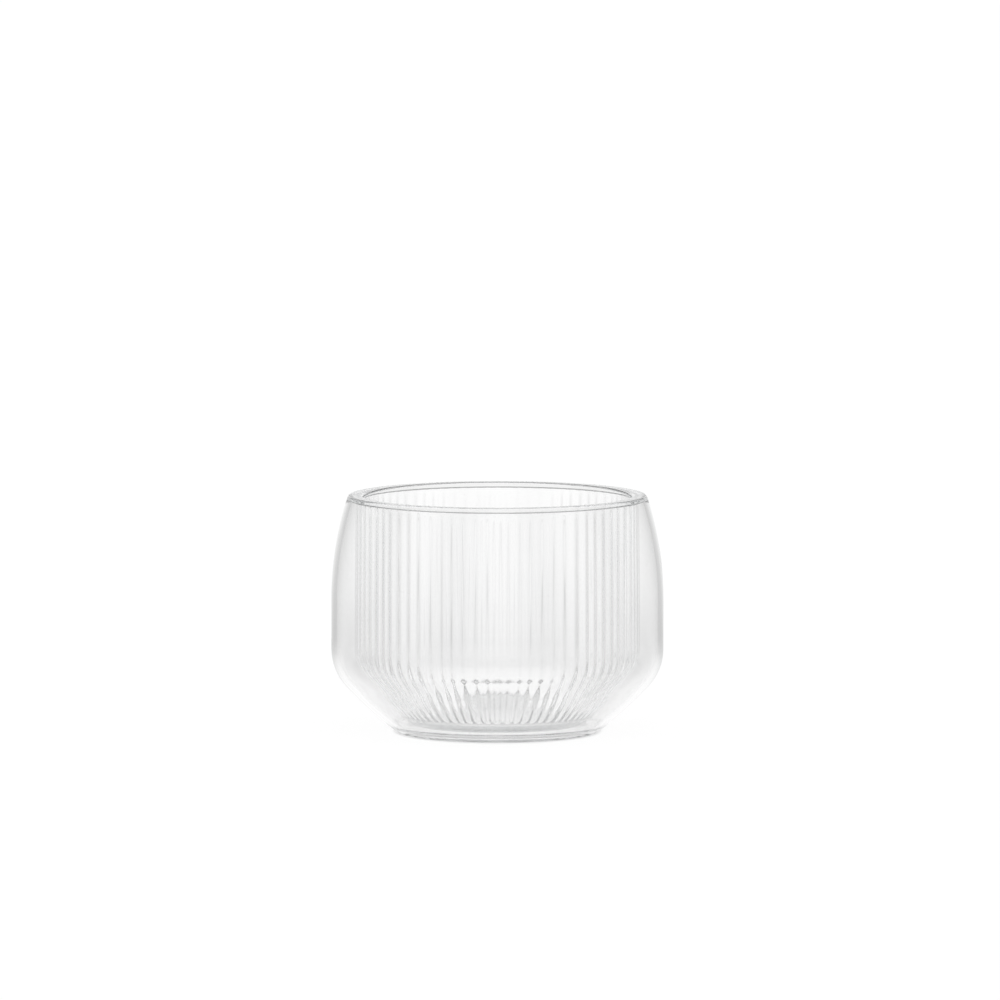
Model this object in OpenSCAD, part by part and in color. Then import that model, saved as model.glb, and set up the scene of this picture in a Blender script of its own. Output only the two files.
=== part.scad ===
// Chai glass: a double-walled glass, a ribbed inner vessel welded at the lip into a smooth outer shell.
// The vessel and the shell are drawn as zones that meet at flat planes, with the sealed gap between them.
// The origin is the middle of the foot and +Z points up out of the mouth.

/* [Outside] */
// Height from the table to the top of the lip
glass_h = 60; // [54:0.5:72]
// Radius of the straight band round the middle
body_r = 42; // [40:0.5:48]
// Radius that the side would reach at the height of the lip
rim_r = 37.7; // [35:0.1:39]
// Height at which the side starts to lean in towards the lip
lean_z = 33.5; // [28:0.5:40]
// Height at which the straight band turns into the heel
heel_z = 20.8; // [19:0.1:26]
// Radius of the curve from the straight band into the heel
heel_r = 13.5; // [11:0.1:15]
// Angle in degrees that the heel curve turns through before the underside begins
heel_turn = 42; // [38:1:46]
// Radius of the gently rounded underside
under_r = 90; // [80:1:140]

/* [Outer shell] */
// Thickness of the side of the shell
shell_t = 1.4; // [1:0.1:2]
// Thickness of the base of the shell
base_t = 2.2; // [1.6:0.1:3]

/* [Inner vessel] */
// Width of the sealed gap between shell and vessel, at the straight band
gap_w = 4.5; // [3:0.1:5.5]
// Thickness of the side of the vessel
vessel_t = 1.8; // [1.2:0.1:2.4]
// Radius of the curve from the side of the vessel into its heel
vessel_heel_r = 9; // [8:0.1:12]
// Angle in degrees that this curve turns through before the underside of the vessel begins
vessel_turn = 36; // [32:1:40]
// Radius of the gently rounded underside of the vessel
vessel_under_r = 90; // [80:1:140]
// Rounding where that underside meets the flat under the vessel
vessel_foot_round = 3; // [1:0.1:4]
// Gap between the flat under the vessel and the base
floor_gap = 0.4; // [0.3:0.1:1.5]
// Thickness of the floor of the vessel at the middle
floor_t = 2.5; // [2:0.1:4]
// Radius of the curve that the inside of the heel runs into the floor with
dish_r = 6; // [5:0.5:12]
// Height at which the inside starts to lean in towards the lip
bore_lean_z = 28; // [26:0.5:40]

/* [Rim] */
// Thickness of the lip, where the vessel and the shell are welded
lip_t = 3.8; // [3.4:0.1:5]
// Height of the welded lip, above the ribs and the straight sides of the gap
rim_h = 1.6; // [1.2:0.1:4]
// Rounding of the lip, inside and outside
lip_round = 1; // [0.4:0.1:1.8]

/* [Ribs] */
// Number of upright ribs round the inside
rib_count = 72; // [36:2:96]
// Height of a rib above the grooves beside it, at the straight band
rib_depth = 0.25; // [0.15:0.01:0.6]
// The same near the lip, where the blowing has drawn the ribs out
rib_depth_lip = 0.18; // [0.1:0.01:0.6]
// The same at the lower end, where the ribs run into the floor
rib_depth_foot = 0.3; // [0.15:0.01:0.8]
// Length over which a rib dies away at each end
rib_fade = 1.5; // [1:0.1:4]
// Length that the ribs run on into the curve of the floor
rib_run = 2; // [1:0.1:5]

/* [Foot] */
// Rounding where the underside meets the flat of the foot
foot_round = 1; // [0.4:0.1:2]
// Radius of the shallow hollow under the foot
hollow_r = 22; // [16:0.5:23]
// Depth of that hollow at its middle
hollow_d = 0.2; // [0.1:0.05:1]

/* [Hidden] */

$fn = 144;
// Clear glass as it looks against a white ground
glass_colour = [0.88, 0.92, 0.93, 0.55];
// How far a cutting shape runs past the face that it opens
overrun = 1;
// Straight pieces in one quarter turn of a small rounding, and in one long arc
round_steps = 8;
arc_steps = 10;
// Corners that draw one rib and its groove
rib_corners = 4;
// Shares of the lip's thickness and of its height that its rounding may take
lip_round_share = 0.45;
lip_height_share = 0.7;
// Share of the lip's height that the rounded top of the gap may take
arch_share = 0.2;
// Least that the inside leans in, so that its arc always has a radius
least_lean = 0.2;

// Outside: the lean is one arc, upright where it leaves the straight band
lean_in = body_r - rim_r;
lean_h = glass_h - lean_z;
lean_r = (lean_h * lean_h + lean_in * lean_in) / (2 * lean_in);
lean_c = [body_r - lean_r, lean_z];
// Outside: the heel curve and the underside share one tangent
heel_c = [body_r - heel_r, heel_z];
under_c = heel_c + (heel_r - under_r) * turned(heel_turn);
// Outside: the rounding of the foot touches the underside and the table
foot_turn = asin((under_c.y - foot_round) / (under_r - foot_round));
foot_c = under_c + (under_r - foot_round) * turned(foot_turn);

// Vessel: its outside keeps the gap from the shell, and its heel and underside share one tangent
vessel_r = body_r - shell_t - gap_w;
vessel_heel_c = [vessel_r - vessel_heel_r, heel_z];
vessel_under_c = vessel_heel_c + (vessel_heel_r - vessel_under_r) * turned(vessel_turn);
// Vessel: the rounding under it touches its underside and its flat
vessel_z = base_t + floor_gap;
vessel_foot_turn = asin((vessel_under_c.y - vessel_z - vessel_foot_round) / (vessel_under_r - vessel_foot_round));
vessel_foot_c = vessel_under_c + (vessel_under_r - vessel_foot_round) * turned(vessel_foot_turn);

// Inside: the groove line, which the ribs stand up from
bore_r = vessel_r - vessel_t;
mouth_r = min(rim_r - lip_t, bore_r - least_lean);
rim_z = glass_h - rim_h;
bore_in = bore_r - mouth_r;
bore_h = rim_z - bore_lean_z;
bore_lean_r = (bore_h * bore_h + bore_in * bore_in) / (2 * bore_in);
bore_lean_c = [bore_r - bore_lean_r, bore_lean_z];
bore_heel_r = vessel_heel_r - vessel_t;
bore_under_r = vessel_under_r - vessel_t;
// Inside: the dish touches the inner underside and the floor
floor_z = vessel_z + floor_t;
dish_turn = asin((vessel_under_c.y - floor_z - dish_r) / (bore_under_r - dish_r));
dish_c = vessel_under_c + (bore_under_r - dish_r) * turned(dish_turn);
// Angles below level at which the ribs start to die away in the dish, and at which they end
rib_end_turn = dish_turn + rib_run / dish_r * 180 / PI;
fade_turn = rib_end_turn - min(rib_fade, rib_run) / dish_r * 180 / PI;
rib_end = dish_c + dish_r * turned(rib_end_turn);
// The heel of the vessel meets its floor at the plane where the ribs end
bowl_z = rib_end.y;

// Lip: one rounding on each side, kept within the lip
lip_fillet = min(lip_round, lip_t * lip_round_share, rim_h * lip_height_share);
lip_turn = asin((glass_h - lip_fillet - lean_z) / (lean_r - lip_fillet));
lip_outer_c = lean_c + (lean_r - lip_fillet) * [cos(lip_turn), sin(lip_turn)];
lip_inner_c = [mouth_r + lip_fillet, glass_h - lip_fillet];
// Lip: the gap ends under it in a rounded arch from the vessel to the shell
arch_in = vessel_side(rim_z);
arch_out = shell_side(rim_z);
arch_r = (arch_out - arch_in) / 2;
arch_h = min(arch_r, rim_h * arch_share);

// Hollow: a shallow dome that meets the foot at hollow_r
dome_r = (hollow_r * hollow_r + hollow_d * hollow_d) / (2 * hollow_d);
dome_turn = asin(hollow_r / dome_r);

// Unit direction that points outward and an angle below level
function turned(angle) = [cos(angle), -sin(angle)];

// Points along an arc from one angle to another, angles counted up from level
function arc(centre, radius, from, to, steps) = [
    for (i = [0:steps])
        let (a = from + (to - from) * i / steps)
        centre + radius * [cos(a), sin(a)]
];

// Angle at a height on the leaning arc of the outside, of the inside, and of the two walls of the gap
function lean_angle(z) = asin((z - lean_z) / lean_r);
function bore_angle(z) = asin((z - bore_lean_z) / bore_lean_r);
function shell_angle(z) = asin((z - lean_z) / (lean_r - shell_t));
function vessel_angle(z) = asin((z - bore_lean_z) / (bore_lean_r + vessel_t));

// Radius at a height of the leaning walls of the gap
function shell_side(z) = lean_c.x + (lean_r - shell_t) * cos(shell_angle(z));
function vessel_side(z) = bore_lean_c.x + (bore_lean_r + vessel_t) * cos(vessel_angle(z));

// Angle at a height on an underside arc, counted up from level
function under_angle(centre, radius, z) = -asin((centre.y - z) / radius);

// Height of a rib at a level: even on the straight band, less towards the lip, more towards the foot
function rib_height(z) =
    z > bore_lean_z ? rib_depth + (rib_depth_lip - rib_depth) * (z - bore_lean_z) / bore_h
    : z < heel_z ? rib_depth + (rib_depth_foot - rib_depth) * (heel_z - z) / (heel_z - bowl_z)
    : rib_depth;

// One station of the ribbed bore: [point on the groove line, angle of the wall below level, rib height]
function station(point, angle, depth) = [point, angle, depth];

// Stations along an arc of the groove line, with full ribs, from the lower angle below level to the upper
function arc_stations(centre, radius, lower, upper, steps) = [
    for (i = [0:steps])
        let (a = lower + (upper - lower) * i / steps, p = centre + radius * turned(a))
        station(p, a, rib_height(p.y))
];

// One ring of points round the bore at a station, with every rib drawn
function rib_ring(s) = [
    for (k = [0:rib_count * rib_corners - 1])
        let (
            turn = 360 * k / (rib_count * rib_corners),
            rise = s[2] * (1 + cos(rib_count * turn)) / 2,
            p = s[0] - rise * turned(s[1])
        )
        [p.x * cos(turn), p.x * sin(turn), p.y]
];

// Solid of the ribbed bore between its lowest and its highest station
module ribbed_bore(stations) {
    ring_n = rib_count * rib_corners;
    top = len(stations) - 1;
    sides = [
        for (i = [0:top - 1], k = [0:ring_n - 1])
            let (
                a = i * ring_n + k,
                b = i * ring_n + (k + 1) % ring_n
            )
            each [[a, a + ring_n, b + ring_n], [a, b + ring_n, b]]
    ];
    bottom_cap = [for (k = [0:ring_n - 1]) k];
    top_cap = [for (k = [ring_n - 1:-1:0]) top * ring_n + k];
    polyhedron(
        points = [for (s = stations) each rib_ring(s)],
        faces = [bottom_cap, each sides, top_cap]
    );
}

// Plain fire-polished lip, where the vessel and the shell are one
module rim() {
    color(glass_colour)
    rotate_extrude()
    polygon(concat(
        [[mouth_r, rim_z]],
        [for (i = [0:2 * round_steps])
            let (a = 180 - 90 * i / round_steps)
            [arch_in + arch_r + arch_r * cos(a), rim_z + arch_h * sin(a)]],
        arc(lean_c, lean_r, lean_angle(rim_z), lip_turn, round_steps),
        arc(lip_outer_c, lip_fillet, lip_turn, 90, round_steps),
        arc(lip_inner_c, lip_fillet, 90, 180, round_steps)
    ));
}

// Smooth side of the shell, from its heel to the lip
module outer_wall() {
    color(glass_colour)
    rotate_extrude()
    polygon(concat(
        [[body_r - shell_t, heel_z], [body_r, heel_z]],
        arc(lean_c, lean_r, 0, lean_angle(rim_z), arc_steps),
        arc(lean_c, lean_r - shell_t, shell_angle(rim_z), 0, arc_steps)
    ));
}

// Curve of the shell from its side in to the base
module outer_heel() {
    inner_r = under_r - shell_t;
    color(glass_colour)
    rotate_extrude()
    polygon(concat(
        arc(under_c, under_r, under_angle(under_c, under_r, base_t), -heel_turn, arc_steps),
        arc(heel_c, heel_r, -heel_turn, 0, arc_steps),
        arc(heel_c, heel_r - shell_t, 0, -heel_turn, arc_steps),
        arc(under_c, inner_r, -heel_turn, under_angle(under_c, inner_r, base_t), arc_steps)
    ));
}

// Base of the shell, with the foot that the glass stands on
module base() {
    color(glass_colour)
    difference() {
        rotate_extrude()
        polygon(concat(
            [[0, 0]],
            arc(foot_c, foot_round, -90, -foot_turn, round_steps),
            arc(under_c, under_r, -foot_turn, under_angle(under_c, under_r, base_t), round_steps),
            [[0, base_t]]
        ));
        rotate_extrude()
        polygon(concat(
            [[0, -overrun], [hollow_r, -overrun]],
            arc([0, hollow_d - dome_r], dome_r, 90 - dome_turn, 90, arc_steps)
        ));
    }
}

// Side of the vessel from its heel to the lip, ribbed inside
module inner_wall() {
    fade_z = rim_z - rib_fade;
    color(glass_colour)
    difference() {
        rotate_extrude()
        polygon(concat(
            [[0, heel_z], [vessel_r, heel_z]],
            arc(bore_lean_c, bore_lean_r + vessel_t, 0, vessel_angle(rim_z), arc_steps),
            [[0, rim_z]]
        ));
        ribbed_bore(concat(
            [station([bore_r, heel_z - overrun], 0, rib_depth)],
            arc_stations(bore_lean_c, bore_lean_r, 0, -bore_angle(fade_z), arc_steps / 2),
            [station([mouth_r, rim_z], 0, 0)],
            [station([mouth_r, rim_z + overrun], 0, 0)]
        ));
    }
}

// Curve of the vessel from its side in to its floor, ribbed inside
module inner_heel() {
    dish_stations = arc_stations(dish_c, dish_r, fade_turn, dish_turn, 1);
    under_stations = arc_stations(vessel_under_c, bore_under_r, dish_turn, vessel_turn, 2);
    heel_stations = arc_stations(vessel_heel_c, bore_heel_r, vessel_turn, 0, round_steps / 2);
    color(glass_colour)
    difference() {
        rotate_extrude()
        polygon(concat(
            [[0, bowl_z]],
            arc(vessel_under_c, vessel_under_r,
                under_angle(vessel_under_c, vessel_under_r, bowl_z), -vessel_turn, arc_steps),
            arc(vessel_heel_c, vessel_heel_r, -vessel_turn, 0, arc_steps),
            [[0, heel_z]]
        ));
        ribbed_bore(concat(
            [station(rib_end - [0, overrun], 0, 0)],
            [station(rib_end, 0, 0)],
            [dish_stations[0]],
            [under_stations[0], under_stations[1]],
            heel_stations,
            [station([bore_r, heel_z + overrun], 0, rib_depth)]
        ));
    }
}

// Floor of the vessel, dished on top and flat underneath
module inner_floor() {
    color(glass_colour)
    difference() {
        rotate_extrude()
        polygon(concat(
            [[0, vessel_z]],
            arc(vessel_foot_c, vessel_foot_round, -90, -vessel_foot_turn, round_steps),
            arc(vessel_under_c, vessel_under_r,
                -vessel_foot_turn, under_angle(vessel_under_c, vessel_under_r, bowl_z), round_steps),
            [[0, bowl_z]]
        ));
        rotate_extrude()
        polygon(concat(
            [[0, floor_z]],
            arc(dish_c, dish_r, -90, -rib_end_turn, arc_steps),
            [[rib_end.x, bowl_z + overrun], [0, bowl_z + overrun]]
        ));
    }
}

rim();
outer_wall();
outer_heel();
base();
inner_wall();
inner_heel();
inner_floor();
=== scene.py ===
# Looks of the chai glass: clear blown glass, a ribbed vessel welded at the lip into a smooth outer shell.
import math
from types import SimpleNamespace

import bmesh
import bpy
from mathutils import Matrix, Vector


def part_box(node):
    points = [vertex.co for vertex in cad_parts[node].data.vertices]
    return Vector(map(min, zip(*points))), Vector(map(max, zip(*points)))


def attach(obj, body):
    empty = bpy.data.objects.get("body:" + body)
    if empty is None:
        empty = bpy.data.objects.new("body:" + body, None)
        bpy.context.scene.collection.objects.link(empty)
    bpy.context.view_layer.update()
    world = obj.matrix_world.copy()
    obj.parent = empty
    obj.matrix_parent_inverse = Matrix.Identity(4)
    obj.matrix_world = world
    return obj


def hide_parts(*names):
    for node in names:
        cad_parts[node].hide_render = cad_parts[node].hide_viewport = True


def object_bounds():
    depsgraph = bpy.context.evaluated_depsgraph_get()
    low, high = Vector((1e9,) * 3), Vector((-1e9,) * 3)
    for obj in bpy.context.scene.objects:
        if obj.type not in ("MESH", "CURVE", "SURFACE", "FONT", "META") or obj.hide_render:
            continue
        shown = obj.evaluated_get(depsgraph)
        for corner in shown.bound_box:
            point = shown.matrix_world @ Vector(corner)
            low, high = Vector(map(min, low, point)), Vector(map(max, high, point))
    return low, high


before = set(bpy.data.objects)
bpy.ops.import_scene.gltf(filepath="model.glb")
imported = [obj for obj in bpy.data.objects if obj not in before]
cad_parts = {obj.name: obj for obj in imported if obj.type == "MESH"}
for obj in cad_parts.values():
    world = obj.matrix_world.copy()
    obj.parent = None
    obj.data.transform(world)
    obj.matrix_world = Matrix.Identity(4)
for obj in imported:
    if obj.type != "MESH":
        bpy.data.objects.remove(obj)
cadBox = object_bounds()
print("frame:", sorted(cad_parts))

mm = 0.001
upAxis = (0, 0, 1)
acrossAxis = (0, 1, 0)  # the outline is drawn in the XZ plane and turned about Y


def linearColour(hexCode):
    # sRGB hex to the linear colour that shader sockets take
    shares = [int(hexCode[i:i + 2], 16) / 255 for i in (1, 3, 5)]
    linear = [s / 12.92 if s <= 0.04045 else ((s + 0.055) / 1.055) ** 2.4 for s in shares]
    return (*linear, 1)


def addNode(tree, kind, inputs=None, **settings):
    # one node: settings are its attributes, inputs are {socket: plain value or output to link}
    node = tree.nodes.new(kind)
    for name, value in settings.items():
        setattr(node, name, value)
    for name, value in (inputs or {}).items():
        if isinstance(value, bpy.types.NodeSocket):
            tree.links.new(value, node.inputs[name])
        else:
            node.inputs[name].default_value = value
    return node


def calc(tree, operation, first, second=0.0):
    return addNode(tree, "ShaderNodeMath", {0: first, 1: second}, operation=operation).outputs[0]


def ramp(tree, value, start, end, low, high):
    # a soft change from low to high while the value goes from start to end
    return addNode(tree, "ShaderNodeMapRange", {"Value": value, "From Min": start, "From Max": end,
                                                "To Min": low, "To Max": high},
                   interpolation_type="SMOOTHSTEP").outputs[0]


def emptyTree(owner):
    owner.use_nodes = True
    owner.node_tree.nodes.clear()
    return owner.node_tree


# Glass body

glassShape = {
    "bodyRadius": 42 * mm,
    "rimRadius": 37.7 * mm,  # where the side would end at the height of the lip
    "leanHeight": 33.5 * mm,
    "heelRadius": 13.5 * mm,
    "heelTurn": math.radians(42),
    "underRadius": 90 * mm,
    "shell": 1.4 * mm,  # thickness of the outer wall
    "gap": 4.5 * mm,
    "vessel": 1.8 * mm,  # thickness of the inner wall
    "vesselHeelRadius": 9 * mm,
    "vesselTurn": math.radians(36),
    "vesselUnderRadius": 90 * mm,
    "vesselFootRound": 3 * mm,
    "floor": 2.5 * mm,
    "dishRadius": 6 * mm,  # the inside of the heel runs into the floor with this curve
    "boreLeanHeight": 28 * mm,
    "lip": 3.8 * mm,
    "lipRound": 1 * mm,
    "archRise": 0.32 * mm,  # the gap ends under the lip in a flat arch
    "footRound": 1 * mm,
    "hollowRadius": 22 * mm,
    "hollowDepth": 0.2 * mm,
    "ribCount": 72,
    "ribDepth": 0.25 * mm,
    "ribDepthLip": 0.18 * mm,
    "ribDepthFoot": 0.3 * mm,
    "ribFade": 1.5 * mm,
    "ribUneven": ((7, 1.3, 0.18), (19, 0.4, 0.12)),  # waves round the glass, start, share of the rib height
    "ribWander": ((11, 2.1, 0.09), (23, 0.7, 0.06)),  # the same for its place, in shares of the spacing
    "stepsPerRib": 8,
    "gapSteps": 216,  # straight pieces round the smooth walls of the gap
    "step": 1.3 * mm,  # longest piece of a wide curve in the outline
    "tightStep": 0.65 * mm,  # of a heel
    "dishStep": 0.43 * mm,  # of the ribbed curve into the floor
    "footStep": 0.325 * mm,  # of the rounding under the vessel
    "roundStep": 0.26 * mm,  # of the roundings of lip and foot
    "archStep": 0.11 * mm,  # of the arch over the gap
    "straightStep": 3.9 * mm,  # of an upright run
    "ringStep": 2.6 * mm,  # of the flat that the glass stands on
    "hollowStep": 5.2 * mm,  # of the hollow inside it
    "floorStep": 7.8 * mm,
    "baseStep": 11.7 * mm,
    "weld": 0.001 * mm,  # vertices nearer than this become one
}


class Outline:
    # a chain of vertices in the XZ plane, drawn with spins and extrusions

    def __init__(self, bm, start):
        self.bm = bm
        self.ribs = bm.verts.layers.float_vector.new("ribs")  # way and height of a rib at the vertex
        self.tip = bm.verts.new(start)

    def lineTo(self, x, z, step):
        # straight run to a point, in pieces no longer than step
        start = self.tip.co.copy()
        end = Vector((x, 0, z))
        pieces = max(1, math.ceil((end - start).length / step))
        made = []
        for i in range(pieces):
            grown = bmesh.ops.extrude_vert_indiv(self.bm, verts=[self.tip])
            self.tip = grown["verts"][0]
            self.tip.co = start.lerp(end, (i + 1) / pieces)
            self.tip[self.ribs] = Vector(acrossAxis).cross(end - start).normalized()
            made.append(self.tip)
        return made

    def archTo(self, x, rise, step):
        # half an ellipse over to a point on the same level
        start = self.tip.co.copy()
        middle, half = (start.x + x) / 2, (start.x - x) / 2
        pieces = math.ceil(2 * half / step)
        for i in range(pieces):
            turn = math.pi * (i + 1) / pieces
            self.lineTo(middle + half * math.cos(turn), start.z + rise * math.sin(turn), abs(half))

    def arcAbout(self, cx, cz, angle, step):
        # turn about a centre: a positive angle goes from outward towards up
        centre = Vector((cx, 0, cz))
        radius = (self.tip.co - centre).length
        pieces = max(2, math.ceil(abs(angle) * radius / step))
        before = set(self.bm.verts)
        swept = bmesh.ops.spin(self.bm, geom=[self.tip], cent=centre, axis=acrossAxis,
                               angle=-angle, steps=pieces)
        self.tip = [g for g in swept["geom_last"] if isinstance(g, bmesh.types.BMVert)][0]
        made = [v for v in self.bm.verts if v not in before]
        for v in made:
            v[self.ribs] = (centre - v.co).normalized()
        return made


def slowWaves(waves, around):
    # unevenness of hand work: a few waves that close on themselves round the glass
    return sum(share * math.sin(count * around + start) for count, start, share in waves)


def leaningRadius(low, high, rise):
    # radius of an arc that starts upright at one distance from the axis and ends at another
    return (rise ** 2 + (low - high) ** 2) / (2 * (low - high))


def glassCurves(s):
    # heights, centres and radii that the skin and the gap share
    c = SimpleNamespace()
    c.height, c.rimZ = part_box("rim")[1].z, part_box("rim")[0].z
    c.heelZ, c.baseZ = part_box("outer_heel")[1].z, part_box("base")[1].z
    c.vesselZ, c.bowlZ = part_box("inner_floor")[0].z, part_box("inner_floor")[1].z
    c.leanR = leaningRadius(s["bodyRadius"], s["rimRadius"], c.height - s["leanHeight"])
    c.heelX = s["bodyRadius"] - s["heelRadius"]
    c.underX = c.heelX + (s["heelRadius"] - s["underRadius"]) * math.cos(s["heelTurn"])
    c.underZ = c.heelZ - (s["heelRadius"] - s["underRadius"]) * math.sin(s["heelTurn"])
    c.vesselR = s["bodyRadius"] - s["shell"] - s["gap"]
    c.bore, c.mouth = c.vesselR - s["vessel"], s["rimRadius"] - s["lip"]
    c.boreRise = c.rimZ - s["boreLeanHeight"]
    c.boreLeanR = leaningRadius(c.bore, c.mouth, c.boreRise)
    c.innerHeelX = c.vesselR - s["vesselHeelRadius"]
    innerStep = s["vesselHeelRadius"] - s["vesselUnderRadius"]
    c.innerUnderX = c.innerHeelX + innerStep * math.cos(s["vesselTurn"])
    c.innerUnderZ = c.heelZ - innerStep * math.sin(s["vesselTurn"])
    return c


def ribHeight(s, c, place, foot):
    # a rib is lower near the lip and higher near the floor, and dies away softly at both ends
    up = max(0, (place.z - s["boreLeanHeight"]) / c.boreRise)
    down = max(0, (c.heelZ - place.z) / (c.heelZ - c.bowlZ))
    height = s["ribDepth"] + (s["ribDepthLip"] - s["ribDepth"]) * up
    height += (s["ribDepthFoot"] - s["ribDepth"]) * down
    fade = max(0, min(1, (c.rimZ - place.z) / s["ribFade"], (place - foot).length / s["ribFade"]))
    return height * fade * fade * (3 - 2 * fade)


def drawSkin(bm, s, c):
    # from the middle of the hollow under the foot, up the outside, over the lip and down the ribbed inside
    step, turn, lipRound, roundStep = s["step"], s["heelTurn"], s["lipRound"], s["roundStep"]
    footTurn = math.asin((c.underZ - s["footRound"]) / (s["underRadius"] - s["footRound"]))
    footX = c.underX + (s["underRadius"] - s["footRound"]) * math.cos(footTurn)
    domeR = (s["hollowRadius"] ** 2 + s["hollowDepth"] ** 2) / (2 * s["hollowDepth"])
    leanX = s["bodyRadius"] - c.leanR
    lipTurn = math.asin((c.height - lipRound - s["leanHeight"]) / (c.leanR - lipRound))
    lipX = leanX + (c.leanR - lipRound) * math.cos(lipTurn)
    line = Outline(bm, (0, 0, s["hollowDepth"]))
    line.arcAbout(0, s["hollowDepth"] - domeR, -math.asin(s["hollowRadius"] / domeR), s["hollowStep"])
    line.lineTo(footX, 0, s["ringStep"])
    line.arcAbout(footX, s["footRound"], math.pi / 2 - footTurn, roundStep)
    line.arcAbout(c.underX, c.underZ, footTurn - turn, step)
    line.arcAbout(c.heelX, c.heelZ, turn, step)
    line.lineTo(s["bodyRadius"], s["leanHeight"], s["straightStep"])
    line.arcAbout(leanX, s["leanHeight"], lipTurn, step)
    line.arcAbout(lipX, c.height - lipRound, math.pi / 2 - lipTurn, roundStep)
    line.lineTo(c.mouth + lipRound, c.height, step)
    line.arcAbout(c.mouth + lipRound, c.height - lipRound, math.pi / 2, roundStep)
    line.lineTo(c.mouth, c.rimZ, step)

    innerUnderR = s["vesselUnderRadius"] - s["vessel"]
    floorZ, dish = c.vesselZ + s["floor"], s["dishRadius"]
    dishTurn = math.asin((c.innerUnderZ - floorZ - dish) / (innerUnderR - dish))
    dishX = c.innerUnderX + (innerUnderR - dish) * math.cos(dishTurn)
    ribEnd = math.asin((floorZ + dish - c.bowlZ) / dish)
    boreTurn = math.asin(c.boreRise / c.boreLeanR)
    ribbed = line.arcAbout(c.bore - c.boreLeanR, s["boreLeanHeight"], -boreTurn, step)
    ribbed += line.lineTo(c.bore, c.heelZ, s["straightStep"])
    ribbed += line.arcAbout(c.innerHeelX, c.heelZ, -s["vesselTurn"], s["tightStep"])
    ribbed += line.arcAbout(c.innerUnderX, c.innerUnderZ, s["vesselTurn"] - dishTurn, step)
    ribbed += line.arcAbout(dishX, floorZ + dish, dishTurn - ribEnd, s["dishStep"])
    foot = line.tip.co.copy()
    line.arcAbout(dishX, floorZ + dish, ribEnd - math.pi / 2, s["tightStep"])
    line.lineTo(0, floorZ, s["floorStep"])
    for v in bm.verts:
        v[line.ribs] = v[line.ribs] * (ribHeight(s, c, v.co, foot) if v in ribbed else 0)
    return line


def drawGap(bm, s, c):
    # from the middle of the base, up inside the shell, over under the lip and down round the vessel
    step, turn, lean = s["step"], s["heelTurn"], s["leanHeight"]
    underR, leanR = s["underRadius"] - s["shell"], c.leanR - s["shell"]
    baseTurn = math.asin((c.underZ - c.baseZ) / underR)
    topTurn = math.asin((c.rimZ - lean) / leanR)
    line = Outline(bm, (0, 0, c.baseZ))
    line.lineTo(c.underX + underR * math.cos(baseTurn), c.baseZ, s["baseStep"])
    line.arcAbout(c.underX, c.underZ, baseTurn - turn, step)
    line.arcAbout(c.heelX, c.heelZ, turn, step)
    line.lineTo(s["bodyRadius"] - s["shell"], lean, s["straightStep"])
    line.arcAbout(s["bodyRadius"] - c.leanR, lean, topTurn, step)

    vesselLeanR, vesselLean = c.boreLeanR + s["vessel"], s["boreLeanHeight"]
    vesselTop = math.asin(c.boreRise / vesselLeanR)
    archIn = c.bore - c.boreLeanR + vesselLeanR * math.cos(vesselTop)
    footR = s["vesselUnderRadius"] - s["vesselFootRound"]
    footTurn = math.asin((c.innerUnderZ - c.vesselZ - s["vesselFootRound"]) / footR)
    footX = c.innerUnderX + footR * math.cos(footTurn)
    line.archTo(archIn, s["archRise"], s["archStep"])
    line.arcAbout(c.bore - c.boreLeanR, vesselLean, -vesselTop, step)
    line.lineTo(c.vesselR, c.heelZ, s["straightStep"])
    line.arcAbout(c.innerHeelX, c.heelZ, -s["vesselTurn"], s["tightStep"])
    line.arcAbout(c.innerUnderX, c.innerUnderZ, s["vesselTurn"] - footTurn, step)
    line.arcAbout(footX, c.vesselZ + s["vesselFootRound"], footTurn - math.pi / 2, s["footStep"])
    line.lineTo(0, c.vesselZ, s["baseStep"])


def spinOutline(bm, steps, weld):
    # the outline turned once round into a smooth closed surface
    bmesh.ops.spin(bm, geom=bm.verts[:] + bm.edges[:], cent=(0, 0, 0), axis=upAxis,
                   angle=2 * math.pi, steps=steps, use_merge=True)
    bmesh.ops.remove_doubles(bm, verts=bm.verts, dist=weld)
    bmesh.ops.recalc_face_normals(bm, faces=bm.faces)
    for face in bm.faces:
        face.smooth = True


def makeGlass(s):
    curves = glassCurves(s)
    mesh = bpy.data.meshes.new("chai_glass")
    # the gap is a closed hollow in the glass, so its faces look inwards
    hollow = bmesh.new()
    drawGap(hollow, s, curves)
    spinOutline(hollow, s["gapSteps"], s["weld"])
    bmesh.ops.reverse_faces(hollow, faces=hollow.faces)
    hollow.to_mesh(mesh)
    hollow.free()
    skin = bmesh.new()
    line = drawSkin(skin, s, curves)
    spinOutline(skin, s["ribCount"] * s["stepsPerRib"], s["weld"])
    # ribs: a smooth wave that stands up from the wall, square to it
    for v in skin.verts:
        around = math.atan2(v.co.y, v.co.x)
        turn = s["ribCount"] * around + 2 * math.pi * slowWaves(s["ribWander"], around)
        wave = (1 + math.cos(turn)) / 2 * (1 + slowWaves(s["ribUneven"], around))
        v.co += Matrix.Rotation(around, 3, "Z") @ v[line.ribs] * wave
    skin.from_mesh(mesh)
    layers = skin.verts.layers.float_vector
    layers.remove(layers["ribs"])
    skin.to_mesh(mesh)
    skin.free()
    piece = bpy.data.objects.new("chai_glass", mesh)
    bpy.context.scene.collection.objects.link(piece)
    triangles = sum(len(p.vertices) - 2 for p in mesh.polygons)
    print("glass:", len(mesh.vertices), "points,", triangles, "triangles")
    return piece


# Glass finish

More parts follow.
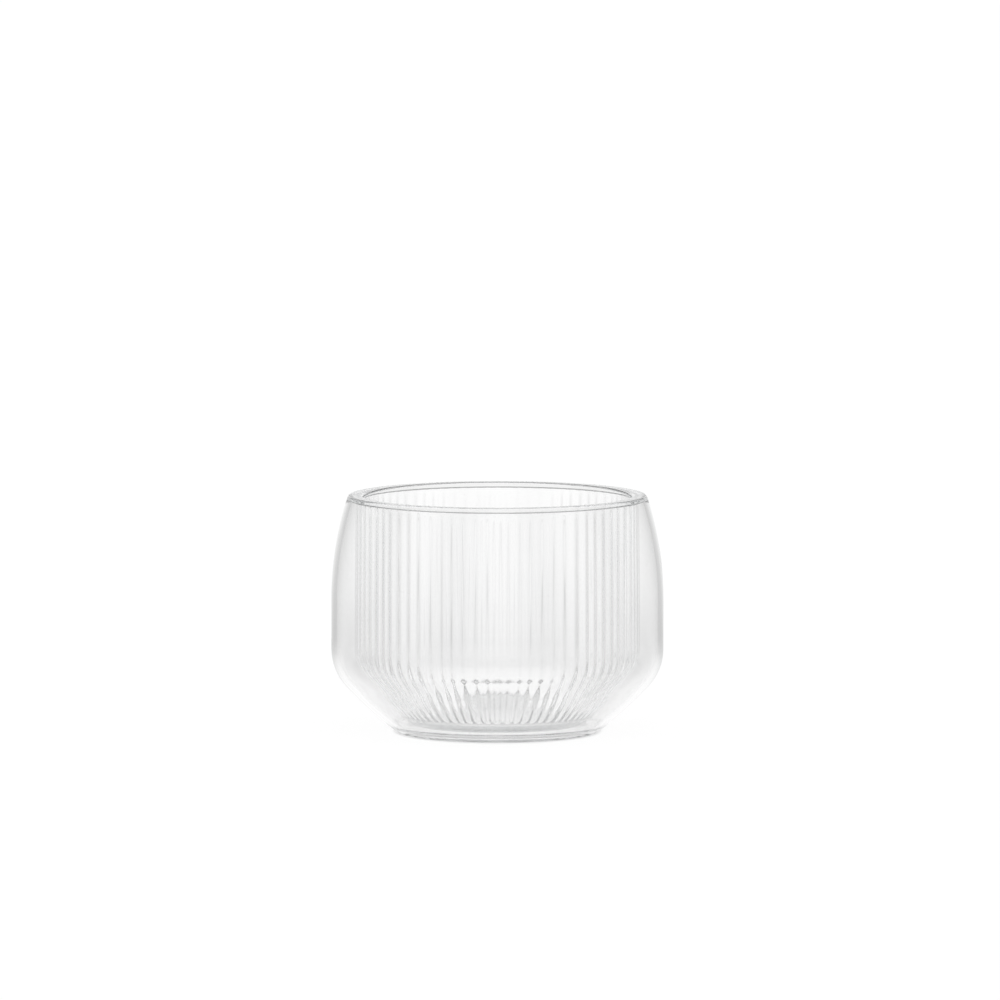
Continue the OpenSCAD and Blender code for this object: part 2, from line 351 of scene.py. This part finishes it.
glassFinish = {
    "colour": "#FFFFFF",
    "ior": 1.52,
    "bodyTint": "#ADB5B8",  # what thick glass leaves of the light
    "bodyDensity": 3,  # per metre
    "rippleSize": 16 * mm,  # slow waviness left by the blowing
    "rippleHeight": 0.01 * mm,
}


def firePolishedGlass(s):
    # blown soda-lime glass with a fire-polished skin: clear, sharp reflections, a faint waviness
    material = bpy.data.materials.new("fire_polished_soda_lime_glass")
    tree = emptyTree(material)
    place = addNode(tree, "ShaderNodeTexCoord").outputs["Object"]
    ripple = addNode(tree, "ShaderNodeTexNoise", {"Vector": place, "Scale": 1 / s["rippleSize"],
                                                  "Detail": 1})
    bump = addNode(tree, "ShaderNodeBump", {"Height": ripple.outputs[0], "Strength": 1,
                                            "Distance": s["rippleHeight"]})
    glass = addNode(tree, "ShaderNodeBsdfPrincipled", {
        "Normal": bump.outputs[0], "Base Color": linearColour(s["colour"]), "Roughness": 0,
        "IOR": s["ior"], "Transmission Weight": 1})
    depth = addNode(tree, "ShaderNodeVolumeAbsorption", {"Color": linearColour(s["bodyTint"]),
                                                         "Density": s["bodyDensity"]})
    addNode(tree, "ShaderNodeOutputMaterial", {"Surface": glass.outputs[0], "Volume": depth.outputs[0]})
    return material


# Floor, surround and camera

studio = {
    "floorSize": 12,
    "floorDrop": 0.1 * mm,
    "floorColour": "#F5F5F5",
    "floorGlow": 0.92,  # the rest of the floor takes light and shadow
    "floorLight": 1.05,
    "whiteTo": 40 * mm,  # seen in the glass, the floor is white this far out
    "panelGlowFrom": 250 * mm,  # and from here it glows as bright as the panels behind it: painted panel light
    "glassShadowBand": (30 * mm, 120 * mm, 450 * mm),  # painted shadow of the glass: a greyer ring of floor round it, only seen in the glass
    "glassShadowDim": 0.1,
    "contactRing": (16 * mm, 22 * mm, 25 * mm, 27 * mm),  # painted contact shade where the foot stands
    "contactShade": 0.4,
    "panels": 6,  # white panels round the glass, with greyer gaps between
    "gapLevel": 0.6,
    "lowDim": 0.92,  # band above the horizon
    "lowBand": (0.0, 0.15),  # rise of the way it is seen, 0 level and 1 straight up
    "topLight": (0.45, 0.75),
    "flagLevel": 0.3,  # dark cloth above the panels behind the glass, which draws the line of the rim
    "flagRise": (0.15, 0.3),
    "flagBack": (0.3, 0.6),
}


def seenDirectly(tree, path):
    # 1 for what the camera sees, also through the glass and in its reflections
    either = calc(tree, "MAXIMUM", path.outputs["Is Camera Ray"], path.outputs["Is Glossy Ray"])
    return calc(tree, "MAXIMUM", either, path.outputs["Is Transmission Ray"])


def panelLevel(tree, x, y, s):
    # brightness of the panels in the direction of a point, shared by the surround and the far floor
    around = calc(tree, "ARCTAN2", x, y)
    wave = calc(tree, "COSINE", calc(tree, "MULTIPLY", around, s["panels"]))
    half = (1 - s["gapLevel"]) / 2
    return calc(tree, "ADD", calc(tree, "MULTIPLY", wave, half), 1 - half)


def makeFloor(s):
    bm = bmesh.new()
    bmesh.ops.create_grid(bm, x_segments=1, y_segments=1, size=s["floorSize"] / 2)
    bmesh.ops.translate(bm, verts=bm.verts, vec=(0, 0, -s["floorDrop"]))
    mesh = bpy.data.meshes.new("studio_floor")
    bm.to_mesh(mesh)
    bm.free()
    floor = bpy.data.objects.new("studio_floor", mesh)
    bpy.context.scene.collection.objects.link(floor)
    # white laminate: glows white where it is seen, and keeps a little of the shadow
    material = bpy.data.materials.new("white_laminate")
    tree = emptyTree(material)
    path = addNode(tree, "ShaderNodeLightPath")
    place = addNode(tree, "ShaderNodeTexCoord").outputs["Object"]
    xyz = addNode(tree, "ShaderNodeSeparateXYZ", {0: place})
    away = addNode(tree, "ShaderNodeVectorMath", {0: place}, operation="LENGTH").outputs["Value"]
    # painted panel light: seen through the glass, the far floor glows as bright as the panels behind it
    throughGlass = calc(tree, "SUBTRACT", 1, path.outputs["Is Camera Ray"])
    far = calc(tree, "MULTIPLY", ramp(tree, away, s["whiteTo"], s["panelGlowFrom"], 0, 1), throughGlass)
    panelShade = calc(tree, "SUBTRACT", 1, panelLevel(tree, xyz.outputs["X"], xyz.outputs["Y"], s))
    level = calc(tree, "SUBTRACT", 1, calc(tree, "MULTIPLY", far, panelShade))
    # painted shadow of the glass: seen through the glass, the floor is greyer in a ring round it
    edge, most, outer = s["glassShadowBand"]
    glassShadow = calc(tree, "MULTIPLY", ramp(tree, away, edge, most, 0, s["glassShadowDim"]),
                ramp(tree, away, most, outer, 1, 0))
    glassShadow = calc(tree, "SUBTRACT", 1, calc(tree, "MULTIPLY", glassShadow, throughGlass))
    level = calc(tree, "MULTIPLY", level, glassShadow)
    glow = addNode(tree, "ShaderNodeEmission", {"Strength": calc(tree, "MULTIPLY", level, s["floorLight"])})
    # painted contact shade: the glow is left out in a ring where the foot stands, which darkens it, and the
    # real contact shadow of the matt part shows there
    inner, full, rest, outer = s["contactRing"]
    ring = calc(tree, "MULTIPLY", ramp(tree, away, inner, full, 0, s["contactShade"]),
                ramp(tree, away, rest, outer, 1, 0))
    share = calc(tree, "MULTIPLY", seenDirectly(tree, path), s["floorGlow"])
    share = calc(tree, "MULTIPLY", share, calc(tree, "SUBTRACT", 1, ring))
    matt = addNode(tree, "ShaderNodeBsdfDiffuse", {"Color": linearColour(s["floorColour"])})
    mix = addNode(tree, "ShaderNodeMixShader", {0: share, 1: matt.outputs[0], 2: glow.outputs[0]})
    addNode(tree, "ShaderNodeOutputMaterial", {"Surface": mix.outputs[0]})
    mesh.materials.append(material)
    return floor


def makeSurround(s):
    # a tent of white panels with greyer gaps, bright overhead and dark above the back
    world = bpy.data.worlds.new("light_tent")
    bpy.context.scene.world = world
    tree = emptyTree(world)
    way = addNode(tree, "ShaderNodeTexCoord").outputs["Generated"]
    xyz = addNode(tree, "ShaderNodeSeparateXYZ", {0: way})
    low = ramp(tree, xyz.outputs["Z"], *s["lowBand"], 1, s["lowDim"])
    overhead = ramp(tree, xyz.outputs["Z"], *s["topLight"], 0, 1)
    rest = calc(tree, "MULTIPLY", calc(tree, "SUBTRACT", 1, overhead), low)
    upright = calc(tree, "ADD", rest, overhead)
    panels = panelLevel(tree, xyz.outputs["X"], xyz.outputs["Y"], s)
    flag = calc(tree, "MULTIPLY", ramp(tree, xyz.outputs["Z"], *s["flagRise"], 0, 1),
                ramp(tree, xyz.outputs["Y"], *s["flagBack"], 0, 1 - s["flagLevel"]))
    upright = calc(tree, "MULTIPLY", upright, calc(tree, "SUBTRACT", 1, flag))
    level = calc(tree, "MULTIPLY", panels, upright)
    path = addNode(tree, "ShaderNodeLightPath")
    shown = calc(tree, "MAXIMUM", level, path.outputs["Is Camera Ray"])
    light = addNode(tree, "ShaderNodeBackground", {"Color": (1, 1, 1, 1), "Strength": shown})
    addNode(tree, "ShaderNodeOutputWorld", {"Surface": light.outputs[0]})


photoView = {
    "distance": 2.05,
    "elevation": math.radians(6.2),
    "frameWidth": 253 * mm,  # width of the picture at the glass
    "side": 0.65 * mm,  # the glass stands a little left of the middle
    "raise": 28.6 * mm,  # the picture's middle is above the middle of the glass
    "reach": 20,
}


def makeCamera(s):
    low, high = cadBox
    middle = Vector((s["side"], 0, (low.z + high.z) / 2))
    back = Vector((0, -math.cos(s["elevation"]), math.sin(s["elevation"])))
    data = bpy.data.cameras.new("photo_camera")
    data.lens = data.sensor_width * s["distance"] / s["frameWidth"]
    data.clip_end = s["reach"]
    camera = bpy.data.objects.new("photo_camera", data)
    bpy.context.scene.collection.objects.link(camera)
    camera.location = middle + back * s["distance"]
    aim = middle + Vector((0, 0, s["raise"]))
    camera.rotation_euler = (aim - camera.location).to_track_quat("-Z", "Y").to_euler()
    bpy.context.scene.camera = camera


scene = bpy.context.scene
scene.view_settings.view_transform = "Standard"
lightBounces = 64  # a ray crosses many walls of glass
scene.cycles.max_bounces = lightBounces
scene.cycles.transmission_bounces = lightBounces
scene.cycles.glossy_bounces = lightBounces
makeCamera(photoView)
makeSurround(studio)
floor = makeFloor(studio)
print("studio ready")

glass = makeGlass(glassShape)
glass.data.materials.append(firePolishedGlass(glassFinish))
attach(glass, "root")
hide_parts("rim", "outer_wall", "outer_heel", "base", "inner_wall", "inner_heel", "inner_floor")
